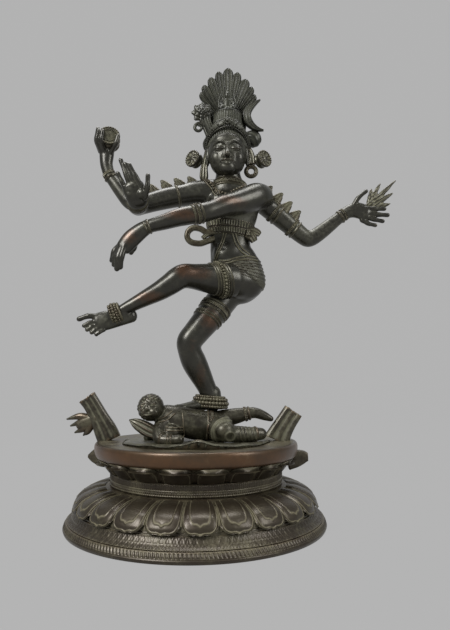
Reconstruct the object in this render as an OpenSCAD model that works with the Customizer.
// Dancing four-armed figure in cast brass, on a dwarf, on a round double-lotus pedestal.
// Millimetres. +Z is up, -Y is the front, and the origin is the centre of the pedestal's underside.

/* [Pedestal] */
// Radius of the foot moulding
foot_r = 124; // [105:1:145]
// Radius of the waist between the two lotus tiers
neck_r = 82; // [68:1:92]
// Radius of the platform's edge
platform_r = 99; // [94:1:118]
// Height of the foot mouldings
foot_h = 17; // [13:0.5:22]
// Height of the lower lotus tier
lower_lotus_h = 21; // [17:0.5:26]
// Height of the waist
neck_h = 12; // [9:0.5:16]
// Height of the upper lotus tier
upper_lotus_h = 13; // [10:0.5:17]
// Height of the platform's rim band
rim_h = 14; // [11:0.5:18]
// Thickness of the cast wall
wall = 4; // [3:0.25:5]
// Petals round the lower tier
lower_petals = 24; // [16:1:32]
// Petals round the upper tier
upper_petals = 19; // [14:1:28]
// Thickness of a lower petal
petal_t = 3.5; // [2.5:0.25:4.5]
// Thickness of an upper petal
upper_petal_t = 3; // [2:0.25:4]

/* [Figure] */
// Height of the figure from the standing sole to the tip of the crest
figure_h = 369; // [300:1:445]
// Radius of the thighs at the hip
thigh_r = 16; // [13:0.5:19.5]
// Radius of the knees
knee_r = 11.5; // [9.5:0.5:14]
// Radius of the standing ankle
ankle_r = 8; // [6.5:0.5:10]
// Radius of the raised ankle
raised_ankle_r = 5.5; // [4.5:0.5:7]
// Radius of an upper arm at the shoulder
shoulder_r = 12; // [10:0.5:14.5]
// Radius of the elbows
elbow_r = 8.5; // [7:0.5:10.5]
// Radius of the wrists
wrist_r = 6; // [5:0.5:7.5]
// Radius of the neck
neck_girth_r = 12; // [10:0.5:14.5]
// Half the width of the head
head_r = 21; // [17.5:0.5:25]
// Half the thickness of the dwarf's trunk
dwarf_r = 14.5; // [12:0.5:17.5]

/* [Ornaments] */
// How far a band stands proud of the limb
band_t = 1.6; // [1:0.1:2.5]
// Width of the thigh bands
thigh_band_w = 11; // [8:0.5:14]
// Width of the arm bands
arm_band_w = 6; // [4:0.5:8]
// Radius of the ear discs
ear_disc_r = 9; // [7.5:0.5:11]
// Thickness of the plume fan
fan_t = 7; // [5:0.5:9]

/* [Fixing] */
// Radius of the tenon that holds the figure to the pedestal
tenon_r = 8; // [6:0.5:10]
// Radius of the pin through the tenon
pin_r = 2.5; // [2:0.25:3.5]
// Radial clearance of the tenon in the platform
tenon_gap = 0.1; // [0.05:0.01:0.3]
// Thickness of the halo stubs
halo_t = 9; // [6:0.5:12]

/* [Hidden] */
$fn = 96;
limb_fn = 14;

neck_z = foot_h + lower_lotus_h;
upper_z = neck_z + neck_h;
rim_z = upper_z + upper_lotus_h;
top_z = rim_z + rim_h;
mound_h = 2;
// The petals start from the front, a little to the right.
petal_turn = -88;
sole_z = top_z + mound_h + 2 * dwarf_r - 2;
s = figure_h / 369;
// The dwarf and the ground under it keep to the platform between the halo stubs.
ground_s = platform_r / 99;

// A point of the figure, in nominal millimetres from the pedestal's axis and the sole.
function p(x, y, z) = [x * s, y * s, z * s + sole_z];
// A point at one side of the head: gap is its distance from the head's side.
function beside_head(side, gap, y, z) = p(30.5, y, z) + [side * (head_r + gap), 0, 0];
// A point of the dwarf, from the pedestal's axis and the mound, with its height counted in trunk radii.
function d(x, y, radii) = [x * ground_s, y * ground_s, top_z + mound_h + radii * dwarf_r];
function mix(a, b, t) = a + (b - a) * t;
function size_of(v) = norm(v);

// Trunk
hip_left = p(46, -4, 129);
hip_right = p(31, 4, 122);
waist = p(32, 0, 165);
chest = p(33, -2, 203);
neck_foot = p(31, 0, 232);
head_c = p(30, -6, 270);
head_h = 45 * s;

// Legs
raised_knee = p(-14, -34, 126);
raised_ankle = p(-67, -43, 94);
raised_heel = p(-58, -38, 88);
raised_toes = p(-96, -50, 76);
standing_knee = p(-8, -16, 69);
standing_ankle = p(14, -4, 16);
standing_heel = p(24, 0, 6);
standing_toes = p(-22, -15, 4);

// Arms: shoulder, elbow, wrist and finger tips of each
sweep = [p(57, -9, 216), p(8, -38, 190), p(-46, -48, 173), p(-72, -48, 134)];
bless = [p(10, -4, 221), p(-58, -12, 202), p(-57, -42, 199), p(-67, -51, 231)];
drum = [p(13, 9, 228), p(-76, 24, 218), p(-103, 24, 257), p(-106, 22, 284)];
flame = [p(63, 8, 226), p(115, 20, 183), p(156, 18, 210), p(200, 14, 212)];

// Turns the +Z axis onto the vector v.
module along(v) {
    rotate([0, acos(v[2] / size_of(v)), atan2(v[1], v[0])]) children();
}

// A rounded limb from a to b.
module bone(a, b, ra, rb) {
    hull() {
        translate(a) sphere(ra, $fn = limb_fn);
        translate(b) sphere(rb, $fn = limb_fn);
    }
}

// A ring round the limb from a to b, at the share t of its length.
module band(a, b, ra, rb, t, w) {
    r = mix(ra, rb, t);
    translate(mix(a, b, t)) along(b - a) translate([0, 0, -w / 2]) difference() {
        cylinder(r = r + band_t, h = w, $fn = 32);
        translate([0, 0, -1]) cylinder(r = r, h = w + 2, $fn = 32);
    }
}

// A round bead or boss.
module stone(c, r) {
    translate(c) sphere(r, $fn = limb_fn);
}

// ---- pedestal ----

// Half outlines of the pedestal's outside: the foot with the lower slope,
// then the platform's underside and rim.
foot_out = [
    [foot_r - 2, 0], [foot_r, 2], [foot_r, 4.5], [foot_r - 3, 9], [foot_r - 6, 10],
    [foot_r - 8.5, foot_h - 1], [foot_r - 11.5, foot_h + 1],
    [foot_r - 13, foot_h + 4],
    [(foot_r + neck_r) / 2 - 3, foot_h + lower_lotus_h * 0.72],
    [neck_r + 2, neck_z]
];
platform_out = [
    [neck_r, upper_z], [platform_r - 14, upper_z + 1], [platform_r - 8, rim_z - 1],
    [platform_r - 4, rim_z], [platform_r, rim_z + rim_h * 0.45], [platform_r - 1, top_z - 1],
    [platform_r - 3, top_z]
];
outer = concat([[0, 0]], foot_out, [[neck_r, neck_z]], platform_out, [[0, top_z]]);
// Half outlines of the hollow, a wall's thickness inside them.
foot_in = [
    [neck_r - wall, neck_z], [neck_r - wall, neck_z - 3], [foot_r - 14 - wall, foot_h],
    [foot_r - 2 - 2 * wall, 3], [foot_r - 2 - 2 * wall, 0]
];
platform_in = [
    [0, top_z - wall], [platform_r - 12 - wall, top_z - wall], [platform_r - 10 - wall, rim_z + 2],
    [neck_r - wall, upper_z + 1], [neck_r - wall, upper_z]
];
tenon_at = [14 * s, -4 * s];

module pedestal_foot() {
    color([0.16, 0.14, 0.11]) rotate_extrude() polygon(concat(foot_out, foot_in));
}

// The waist carries a raised bead row below and a taller toothed band above it.
module pedestal_waist() {
    bead_z = neck_z + 1;
    bead_top = neck_z + 3.4;
    band_z = neck_z + 4;
    band_top = upper_z - 1;
    color([0.16, 0.14, 0.11]) rotate_extrude() polygon([
        [neck_r, neck_z],
        [neck_r, bead_z], [neck_r + 2.6, bead_z], [neck_r + 2.6, bead_top], [neck_r, bead_top],
        [neck_r, band_z], [neck_r + 1.6, band_z], [neck_r + 1.6, band_top], [neck_r, band_top],
        [neck_r, upper_z], [neck_r - wall, upper_z], [neck_r - wall, neck_z]
    ]);
}

module pedestal_platform() {
    color([0.17, 0.14, 0.1]) difference() {
        rotate_extrude() polygon(concat(platform_out, platform_in));
        translate([tenon_at[0], tenon_at[1], top_z - wall - 1])
            cylinder(r = tenon_r + tenon_gap, h = wall + 2);
    }
}

// A lotus petal that lies on a slope from (r0, z0) to (r1, z1), widening to w1 and ending in a round lip.
module petal(r0, z0, r1, z1, w0, w1, t) {
    hull() {
        translate([r0, 0, z0]) rotate([90, 0, 0]) cylinder(r = t / 2, h = w0, center = true, $fn = 8);
        translate([(r0 + r1) / 2 + t * 0.3, 0, (z0 + z1) / 2 + t * 0.3])
            rotate([90, 0, 0]) cylinder(r = t / 2, h = w1, center = true, $fn = 8);
        translate([r1, 0, z1]) rotate([90, 0, 0]) cylinder(r = t / 2, h = w1 * 0.7, center = true, $fn = 8);
    }
}

module lower_lotus_petals() {
    tip_r = foot_r - 8;
    pitch = 2 * PI * tip_r / lower_petals;
    color([0.17, 0.15, 0.12]) difference() {
        for (i = [0:lower_petals - 1]) rotate(i * 360 / lower_petals + petal_turn)
            petal(neck_r + 5, neck_z - 1.5, tip_r, foot_h + 4.5, pitch * 0.62, pitch * 0.84, petal_t);
        rotate_extrude($fn = 48) polygon(outer);
    }
}

module upper_lotus_petals() {
    tip_r = platform_r - 6;
    pitch = 2 * PI * tip_r / upper_petals;
    color([0.17, 0.15, 0.12]) difference() {
        for (i = [0:upper_petals - 1]) rotate((i + 0.5) * 360 / upper_petals + petal_turn)
            petal(platform_r - 13, upper_z + 3, tip_r, rim_z - 1.5, pitch * 0.6, pitch * 0.82, upper_petal_t);
        rotate_extrude($fn = 48) polygon(outer);
    }
}

// The low ground that the dwarf lies on.
module ground_mound() {
    back = 14 * ground_s;
    color([0.2, 0.2, 0.16]) translate([0, -back, top_z]) difference() {
        scale([1.5, 0.95, 1]) cylinder(r1 = 46 * ground_s, r2 = 42 * ground_s, h = mound_h, $fn = 32);
        translate([tenon_at[0], tenon_at[1] + back, -1]) cylinder(r = tenon_r + tenon_gap, h = mound_h + 2);
    }
}

// Blunt lugs under the rim at both ends, which carried the feet of the halo.
module side_lugs() {
    lug_reach = 11;
    color([0.16, 0.15, 0.12]) difference() {
        for (side = [-1, 1]) hull() {
            translate([side * (platform_r - 6), 0, rim_z + 5]) sphere(7, $fn = limb_fn);
            translate([side * (platform_r + lug_reach - 5), 0, rim_z - 1]) sphere(4.5, $fn = limb_fn);
            translate([side * (platform_r - 12), 0, upper_z + 5]) sphere(5, $fn = limb_fn);
        }
        rotate_extrude($fn = 48) polygon(outer);
    }
}

// A stub of the broken halo band: a flat curved bar that leans outward from the platform.
module halo_stub(side, foot_in, lean, rise, w) {
    steps = 5;
    foot_x = platform_r - foot_in;
    at = [for (i = [0:steps]) [foot_x + lean * pow(i / steps, 0.8), rise * i / steps]];
    translate([0, halo_t / 2, top_z]) rotate([90, 0, 0]) linear_extrude(halo_t) difference() {
        for (i = [0:steps - 1]) polygon([for (q = [
            at[i] - [w / 2, 0], at[i] + [w / 2, 0],
            at[i + 1] + [w / 2, side * 2], at[i + 1] - [w / 2, -3 + side * 2]
        ]) [side * q[0], q[1]]]);
        translate([-2 * platform_r, -20]) square([4 * platform_r, 20]);
    }
}

module halo_stub_left() {
    color([0.2, 0.19, 0.14]) halo_stub(-1, 14, 25, 42, 20);
}

module halo_stub_right() {
    color([0.2, 0.19, 0.14]) halo_stub(1, 22, 20, 31, 20);
}

// The one flame that is left on the halo: three tongues from a knob on the outer edge of the left stub.
module halo_flame_tuft() {
    root = [-platform_r - 9, 0, top_z + 16];
    color([0.22, 0.21, 0.15]) difference() {
        for (tip = [[-21, 5], [-17, -2], [-12, -9]])
            bone(root, root + [tip[0], 0, tip[1]], 4.5, 1.2);
        halo_stub(-1, 14, 25, 42, 20);
    }
}

// The tenon under the dwarf, which passes through the platform, and the pin that locks it from below.
tenon_drop = 12;
module figure_tenon() {
    color([0.45, 0.34, 0.16]) translate([tenon_at[0], tenon_at[1], top_z - wall - tenon_drop]) difference() {
        cylinder(r = tenon_r, h = wall + tenon_drop + mound_h);
        translate([-2 * tenon_r, 0, tenon_drop - pin_r]) rotate([0, 90, 0])
            cylinder(r = pin_r, h = 4 * tenon_r);
    }
}

module tenon_cross_pin() {
    overhang = 5;
    pin_l = 2 * (tenon_r + overhang);
    color([0.3, 0.24, 0.14]) translate([tenon_at[0] - pin_l / 2, tenon_at[1], top_z - wall - pin_r])
        rotate([0, 90, 0]) cylinder(r = pin_r, h = pin_l);
}

// ---- dwarf ----

dwarf_shoulder = d(-22, -20, 1.15);
dwarf_hip = d(17, -16, 1.02);
dwarf_head_c = d(-42, -28, 2.3);
dwarf_head_r = 13.5 * ground_s;

module dwarf_torso() {
    color([0.2, 0.19, 0.15]) difference() {
        bone(dwarf_shoulder, dwarf_hip, dwarf_r, dwarf_r * 0.98);
        translate([-200, -200, 0]) cube([400, 400, top_z + mound_h]);
    }
}

module dwarf_head() {
    color([0.2, 0.19, 0.15]) difference() {
        translate(dwarf_head_c) sphere(dwarf_head_r, $fn = limb_fn + 6);
        dwarf_torso();
    }
}

// The leaf-shaped blade in the dwarf's fist, left of the head.
module dwarf_dagger() {
    color([0.18, 0.17, 0.13]) difference() {
        hull() {
            translate(d(-60, -33, 1.5)) sphere(1.2, $fn = 8);
            translate(d(-48, -32, 0.8)) sphere(4.5, $fn = limb_fn);
            translate(d(-38, -30, 0.45)) sphere(5, $fn = limb_fn);
        }
        dwarf_head();
        dwarf_torso();
    }
}

module dwarf_near_arm() {
    color([0.2, 0.19, 0.15]) difference() {
        union() {
            bone(dwarf_shoulder + [0, -6 * s, -4], d(-36, -38, 0.55), 8, 7.5);
            bone(d(-36, -38, 0.55), d(-14, -46, 0.45), 7.5, 5.5);
        }
        dwarf_torso();
        dwarf_head();
        dwarf_dagger();
        translate([-200, -200, 0]) cube([400, 400, top_z]);
        ground_mound();
    }
}

dwarf_near_knee = d(27, -40, 0.8);
module dwarf_near_thigh() {
    color([0.2, 0.19, 0.15]) difference() {
        bone(dwarf_hip + [2, -2, -1], dwarf_near_knee, 12.5, 10.5);
        dwarf_torso();
        translate([-200, -200, 0]) cube([400, 400, top_z]);
        ground_mound();
    }
}

module dwarf_near_calf() {
    color([0.2, 0.19, 0.15]) difference() {
        bone(dwarf_near_knee, d(60, -26, 0.5), 8.5, 6.5);
        dwarf_near_thigh();
        dwarf_torso();
        translate([-200, -200, 0]) cube([400, 400, top_z]);
        ground_mound();
    }
}

// The far leg is bent up behind, with its sole in the air.
module dwarf_far_leg() {
    far_knee = d(40, -2, 1.1);
    far_ankle = d(54, -4, 1.75);
    color([0.2, 0.19, 0.15]) difference() {
        union() {
            bone(dwarf_hip + [2, 6, 1], far_knee, 9, 7.5);
            bone(far_knee, far_ankle, 7.5, 5);
            bone(far_ankle, d(71, -5, 1.45), 5, 2.6);
        }
        dwarf_torso();
        dwarf_near_thigh();
        dwarf_near_calf();
        ground_mound();
    }
}

module dwarf_belt() {
    color([0.25, 0.23, 0.17]) difference() {
        translate(mix(dwarf_shoulder, dwarf_hip, 0.86)) along(dwarf_hip - dwarf_shoulder)
            translate([0, 0, -3]) cylinder(r = dwarf_r + band_t, h = 6, $fn = 32);
        dwarf_torso();
        dwarf_near_thigh();
        dwarf_far_leg();
        standing_foot();
        translate([-200, -200, 0]) cube([400, 400, top_z + mound_h]);
    }
}

// ---- legs ----

module standing_thigh() {
    color([0.25, 0.19, 0.12]) difference() {
        bone(hip_right, standing_knee, thigh_r, knee_r);
        pelvis_wrap();
    }
}

module standing_shin() {
    calf = mix(standing_knee, standing_ankle, 0.35) + [3, 0, 0];
    color([0.25, 0.19, 0.12]) difference() {
        hull() {
            translate(standing_knee) sphere(knee_r - 1, $fn = limb_fn);
            translate(calf) sphere(knee_r + 0.8, $fn = limb_fn);
            translate(standing_ankle) sphere(ankle_r, $fn = limb_fn);
        }
        standing_thigh();
    }
}

module standing_foot() {
    color([0.2, 0.18, 0.14]) difference() {
        hull() {
            translate(standing_heel) sphere(6.5, $fn = limb_fn);
            translate(standing_ankle + [-4, -2, -4]) sphere(6, $fn = limb_fn);
            translate(standing_toes) sphere(4.5, $fn = limb_fn);
        }
        standing_shin();
        dwarf_torso();
    }
}

module standing_thigh_band() {
    color([0.27, 0.25, 0.18]) band(hip_right, standing_knee, thigh_r, knee_r, 0.42, thigh_band_w);
}

module standing_anklet() {
    color([0.27, 0.25, 0.18]) difference() {
        translate(standing_ankle + [1, 0, 0]) cylinder(r = ankle_r + 4, h = 6, center = true, $fn = 32);
        standing_shin();
        standing_foot();
    }
}

module raised_thigh() {
    color([0.25, 0.17, 0.12]) difference() {
        bone(hip_left, raised_knee, thigh_r, knee_r);
        pelvis_wrap();
        standing_thigh();
    }
}

module raised_shin() {
    color([0.25, 0.19, 0.13]) difference() {
        hull() {
            translate(raised_knee) sphere(knee_r - 0.7, $fn = limb_fn);
            translate(mix(raised_knee, raised_ankle, 0.35) + [0, 0, -2]) sphere(knee_r - 2, $fn = limb_fn);
            translate(raised_ankle) sphere(raised_ankle_r, $fn = limb_fn);
        }
        raised_thigh();
    }
}

module raised_foot() {
    color([0.2, 0.18, 0.14]) difference() {
        hull() {
            translate(raised_heel) sphere(5.5, $fn = limb_fn);
            translate(raised_ankle + [-4, 0, -1]) sphere(raised_ankle_r, $fn = limb_fn);
            translate(raised_toes + [-5, 1, 6]) sphere(2.5, $fn = limb_fn);
            translate(raised_toes + [5, -2, -6]) sphere(2.5, $fn = limb_fn);
        }
        raised_shin();
    }
}

module raised_thigh_band() {
    color([0.27, 0.25, 0.18]) difference() {
        band(hip_left, raised_knee, thigh_r, knee_r, 0.41, thigh_band_w + 3);
        standing_thigh();
    }
}

module raised_anklet() {
    color([0.27, 0.25, 0.18]) difference() {
        translate(mix(raised_knee, raised_ankle, 0.97)) along(raised_ankle - raised_knee)
            translate([0, 0, -3]) cylinder(r = raised_ankle_r + 4, h = 6, $fn = 32);
        raised_shin();
        raised_foot();
    }
}

// ---- trunk ----

module pelvis_wrap() {
    color([0.2, 0.19, 0.14]) hull() {
        translate(p(37, 1, 142)) scale([1, 0.72, 1]) sphere(25 * s, $fn = limb_fn + 6);
        translate(p(46, 2, 124)) scale([1, 0.85, 1]) sphere(19 * s, $fn = limb_fn + 6);
    }
}

module torso() {
    color([0.19, 0.17, 0.14]) difference() {
        hull() {
            translate(waist) scale([1, 0.7, 1]) sphere(20 * s, $fn = limb_fn + 6);
            translate(chest) scale([1, 0.62, 0.8]) sphere(28 * s, $fn = limb_fn + 6);
            for (side = [-1, 1]) translate(p(33 + side * 22, 0, 220)) sphere(shoulder_r, $fn = limb_fn);
        }
        pelvis_wrap();
    }
}

// The sash tied round the ribs, with a loop that stands off at the left and a knot at the right.
module chest_sash() {
    loop_c = p(-6, -6, 180);
    knot = p(72, -4, 181);
    color([0.22, 0.22, 0.17]) difference() {
        union() {
            translate(p(32, -1, 183)) scale([1.3, 0.86, 1])
                cylinder(r = 20 * s, h = 6 * s, center = true, $fn = 32);
            translate(loop_c) rotate([90, 0, 0]) rotate_extrude($fn = 24)
                translate([9 * s, 0]) circle(2.5 * s, $fn = 16);
            bone(p(54, -6, 182), knot, 4.5, 3);
            bone(p(4, -6, 177), p(14, -8, 180), 3, 3);
        }
        torso();
        translate(loop_c) rotate([90, 0, 0]) cylinder(r = 6 * s, h = 20, center = true, $fn = 16);
    }
}

module neck() {
    color([0.19, 0.18, 0.14]) difference() {
        bone(neck_foot + [0, 0, -4 * s], head_c + [0, 2, -12 * s], neck_girth_r + 1, neck_girth_r);
        torso();
        head();
    }
}

module necklace() {
    color([0.27, 0.26, 0.18]) difference() {
        translate(p(32, -4, 231)) rotate([18, 0, 0]) scale([1.25, 1, 1])
            cylinder(r1 = neck_girth_r + 8, r2 = neck_girth_r + 4, h = 4 * s, center = true, $fn = 32);
        neck();
        torso();
        blessing_upper_arm();
        drum_upper_arm();
        sweeping_upper_arm();
        flame_upper_arm();
    }
}

module head() {
    color([0.2, 0.18, 0.15]) hull() {
        translate(head_c + [0, 0, head_h * 0.1]) sphere(head_r, $fn = 24);
        translate(head_c + [0, -6 * s, -head_h * 0.28]) sphere(head_r * 0.55, $fn = limb_fn);
    }
}

// ---- headdress ----

crown_z = 303;
module hair_crown() {
    color([0.18, 0.17, 0.14]) difference() {
        union() {
            translate(p(30, -4, crown_z - 14))
                cylinder(r1 = head_r + 1, r2 = head_r - 4, h = 14 * s, $fn = 32);
            translate(p(30, -4, crown_z)) cylinder(r1 = head_r - 5, r2 = head_r - 7, h = 17 * s, $fn = 32);
        }
        head();
    }
}

// Thirteen plumes that spread from behind the crown like a fan.
fan_reach = [40, 42, 45, 49, 50, 50, 53, 50, 50, 49, 46, 42, 36];
module plume_fan() {
    fan_count = len(fan_reach);
    root = p(30, 3, 316);
    color([0.18, 0.18, 0.14]) difference() {
        translate(root + [0, fan_t / 2, 0]) rotate([90, 0, 0]) linear_extrude(fan_t) union() {
            circle(14 * s, $fn = 24);
            for (i = [0:fan_count - 1]) rotate((i - (fan_count - 1) / 2) * -15) hull() {
                translate([0, 8 * s]) circle(3 * s, $fn = 10);
                translate([0, (fan_reach[i] - 4.5) * s]) circle(4.5 * s, $fn = 10);
            }
        }
        hair_crown();
    }
}

module crown_figurine() {
    seat = p(30, -13, 320);
    color([0.27, 0.22, 0.15]) difference() {
        union() {
            bone(seat + [-7 * s, 0, 3], seat + [7 * s, 0, 3], 3, 3);
            bone(seat + [0, 1, 4], seat + [0, 2, 13 * s], 5, 4);
            stone(seat + [0, 1, 19 * s], 4);
        }
        hair_crown();
        plume_fan();
    }
}

module hair_flower() {
    color([0.22, 0.21, 0.15]) difference() {
        translate(beside_head(-1, 6, -4, 318)) rotate([90, 0, 0])
            cylinder(r = 9.5 * s, h = 8, center = true, $fn = 24);
        hair_crown();
        plume_fan();
    }
}

module serpent_curl() {
    color([0.19, 0.18, 0.14]) difference() {
        union() {
            translate(p(-1, -3, 299)) rotate([90, 0, 0]) rotate_extrude($fn = 24)
                translate([4.5 * s, 0]) circle(2.6 * s, $fn = 16);
            bone(p(2, -3, 309), p(8, -2, 300), 3, 4);
            bone(p(1, -2, 294), p(9, -2, 288), 3, 4);
        }
        hair_flower();
        hair_crown();
        head();
        plume_fan();
    }
}

// A crescent, open to the right: an outer disc less a disc that is set further out.
module crescent_moon() {
    color([0.19, 0.19, 0.15]) difference() {
        translate(p(60, 0, 314)) rotate([90, 0, 0]) linear_extrude(6, center = true) difference() {
            circle(19.5 * s, $fn = 40);
            translate([12 * s, 0]) circle(18 * s, $fn = 40);
            translate([12 * s, -40 * s]) square([40 * s, 80 * s]);
        }
        plume_fan();
        hair_crown();
        head();
        side_bun();
    }
}

module side_bun() {
    color([0.2, 0.2, 0.15]) difference() {
        translate(beside_head(1, 6, 6, 289)) sphere(8.7 * s, $fn = limb_fn + 4);
        head();
        hair_crown();
    }
}

module ear_discs() {
    color([0.24, 0.23, 0.16]) difference() {
        for (side = [-1, 1]) translate(beside_head(side, 16.5, -4, 261)) rotate([90, 0, side * 25])
            cylinder(r = ear_disc_r, h = 10, center = true, $fn = 24);
        head();
    }
}

// The long ear lobes, with a round ring in the one at the right.
module ear_pendants() {
    color([0.2, 0.19, 0.15]) difference() {
        union() {
            for (side = [-1, 1]) bone(beside_head(side, 1.5, -3, 266), beside_head(side, 4, -4, 250), 4.2, 4);
            translate(beside_head(1, 3.5, -4, 247)) rotate([90, 0, 0]) rotate_extrude($fn = 24)
                translate([5 * s, 0]) circle(2.4 * s, $fn = 16);
            bone(beside_head(-1, 3.5, -4, 252), beside_head(-1, 4.5, -4, 240), 4, 3.4);
        }
        head();
        neck();
        ear_discs();
        torso();
    }
}

// ---- arms ----

module sweeping_upper_arm() {
    color([0.27, 0.2, 0.14]) difference() {
        bone(sweep[0], sweep[1], shoulder_r + 2.5, elbow_r + 1.5);
        torso();
        chest_sash();
    }
}

module sweeping_forearm() {
    color([0.25, 0.17, 0.12]) difference() {
        bone(sweep[1], sweep[2], elbow_r + 1, wrist_r + 0.5);
        sweeping_upper_arm();
    }
}

module sweeping_hand() {
    knuckle = p(-66, -50, 155);
    color([0.25, 0.18, 0.13]) difference() {
        union() {
            bone(sweep[2], knuckle, wrist_r, 6.5);
            bone(knuckle, sweep[3], 6.5, 3.5);
        }
        sweeping_forearm();
    }
}

module blessing_upper_arm() {
    color([0.17, 0.17, 0.14]) difference() {
        bone(bless[0], bless[1], shoulder_r, elbow_r + 2);
        torso();
    }
}

module blessing_forearm() {
    color([0.17, 0.17, 0.14]) difference() {
        bone(bless[1], bless[2], elbow_r + 1.5, wrist_r + 2);
        blessing_upper_arm();
    }
}

module blessing_hand() {
    palm = p(-60, -48, 210);
    color([0.2, 0.19, 0.14]) difference() {
        union() {
            bone(bless[2], palm, wrist_r + 1, 8.5);
            bone(palm, bless[3], 8.5, 4);
            bone(palm + [6, -2, 0], p(-45, -53, 221), 4, 2.4);
        }
        blessing_forearm();
    }
}

module drum_upper_arm() {
    color([0.19, 0.18, 0.14]) difference() {
        bone(drum[0], drum[1], shoulder_r - 1, elbow_r);
        torso();
        blessing_upper_arm();
    }
}

module drum_forearm() {
    color([0.19, 0.18, 0.14]) difference() {
        bone(drum[1], drum[2], elbow_r - 0.6, wrist_r + 0.5);
        drum_upper_arm();
        blessing_upper_arm();
    }
}

module drum_hand() {
    color([0.19, 0.18, 0.14]) difference() {
        union() {
            bone(drum[2], mix(drum[2], drum[3], 0.6), wrist_r, 6);
            bone(mix(drum[2], drum[3], 0.6), drum[3], 6, 7);
        }
        drum_forearm();
        hand_drum();
    }
}

// A small waisted drum, held across the raised finger tips.
module hand_drum() {
    drum_half = 12 * s;
    color([0.2, 0.19, 0.15]) translate(p(-101, 18, 298)) rotate([90, 0, 0]) rotate_extrude($fn = 32)
        polygon([[0, -drum_half], [11.5 * s, -drum_half], [12 * s, -drum_half + 2], [8 * s, 0],
            [12 * s, drum_half - 2], [11.5 * s, drum_half], [0, drum_half]]);
}

module flame_upper_arm() {
    color([0.19, 0.19, 0.16]) difference() {
        bone(flame[0], flame[1], shoulder_r, elbow_r - 0.5);
        torso();
        sweeping_upper_arm();
    }
}

module flame_forearm() {
    color([0.2, 0.17, 0.13]) difference() {
        bone(flame[1], flame[2], elbow_r - 1, wrist_r + 1);
        flame_upper_arm();
    }
}

module flame_hand() {
    palm = p(171, 15, 216);
    color([0.24, 0.23, 0.15]) difference() {
        union() {
            bone(flame[2], palm, wrist_r, 9);
            bone(palm, p(194, 12, 206), 9, 6);
        }
        flame_forearm();
    }
}

// A tuft of fire with one long tongue, held above the palm.
module hand_flame() {
    root = p(186, 16, 220);
    color([0.23, 0.23, 0.16]) difference() {
        for (tip = [[-5, 0, 19], [10, 0, 16], [27, 0, 27], [20, -2, 3]])
            bone(root, root + tip * s, 6, 1.3);
        flame_hand();
    }
}

// Armlets near the shoulders, elbow bands and bracelets.
module arm_bands() {
    color([0.28, 0.27, 0.19]) difference() {
        union() {
            band(sweep[0], sweep[1], shoulder_r + 2.5, elbow_r + 1.5, 0.97, arm_band_w);
            band(sweep[1], sweep[2], elbow_r + 1.5, wrist_r + 0.5, 0.95, arm_band_w);
            band(bless[0], bless[1], shoulder_r, elbow_r + 2, 0.12, arm_band_w + 2);
            band(bless[1], bless[2], elbow_r + 1.5, wrist_r + 2, 0.7, arm_band_w);
            band(drum[1], drum[2], elbow_r, wrist_r + 0.5, 0.9, arm_band_w);
            band(flame[0], flame[1], shoulder_r, elbow_r - 0.5, 0.3, arm_band_w);
            band(flame[0], flame[1], shoulder_r, elbow_r - 0.5, 0.62, arm_band_w);
            band(flame[1], flame[2], elbow_r, wrist_r + 1, 0.78, arm_band_w);
        }
        torso();
        necklace();
        blessing_upper_arm();
        drum_upper_arm();
        blessing_hand();
        flame_hand();
        sweeping_hand();
        drum_hand();
        chest_sash();
    }
}

pedestal_foot();
pedestal_waist();
pedestal_platform();
lower_lotus_petals();
upper_lotus_petals();
ground_mound();
side_lugs();
halo_stub_left();
halo_stub_right();
halo_flame_tuft();
figure_tenon();
tenon_cross_pin();
dwarf_torso();
dwarf_head();
dwarf_dagger();
dwarf_near_arm();
dwarf_near_thigh();
dwarf_near_calf();
dwarf_far_leg();
dwarf_belt();
standing_thigh();
standing_shin();
standing_foot();
standing_thigh_band();
standing_anklet();
raised_thigh();
raised_shin();
raised_foot();
raised_thigh_band();
raised_anklet();
pelvis_wrap();
torso();
chest_sash();
neck();
necklace();
head();
hair_crown();
plume_fan();
crown_figurine();
hair_flower();
serpent_curl();
crescent_moon();
side_bun();
ear_discs();
ear_pendants();
sweeping_upper_arm();
sweeping_forearm();
sweeping_hand();
blessing_upper_arm();
blessing_forearm();
blessing_hand();
drum_upper_arm();
drum_forearm();
drum_hand();
hand_drum();
flame_upper_arm();
flame_forearm();
flame_hand();
hand_flame();
arm_bands();
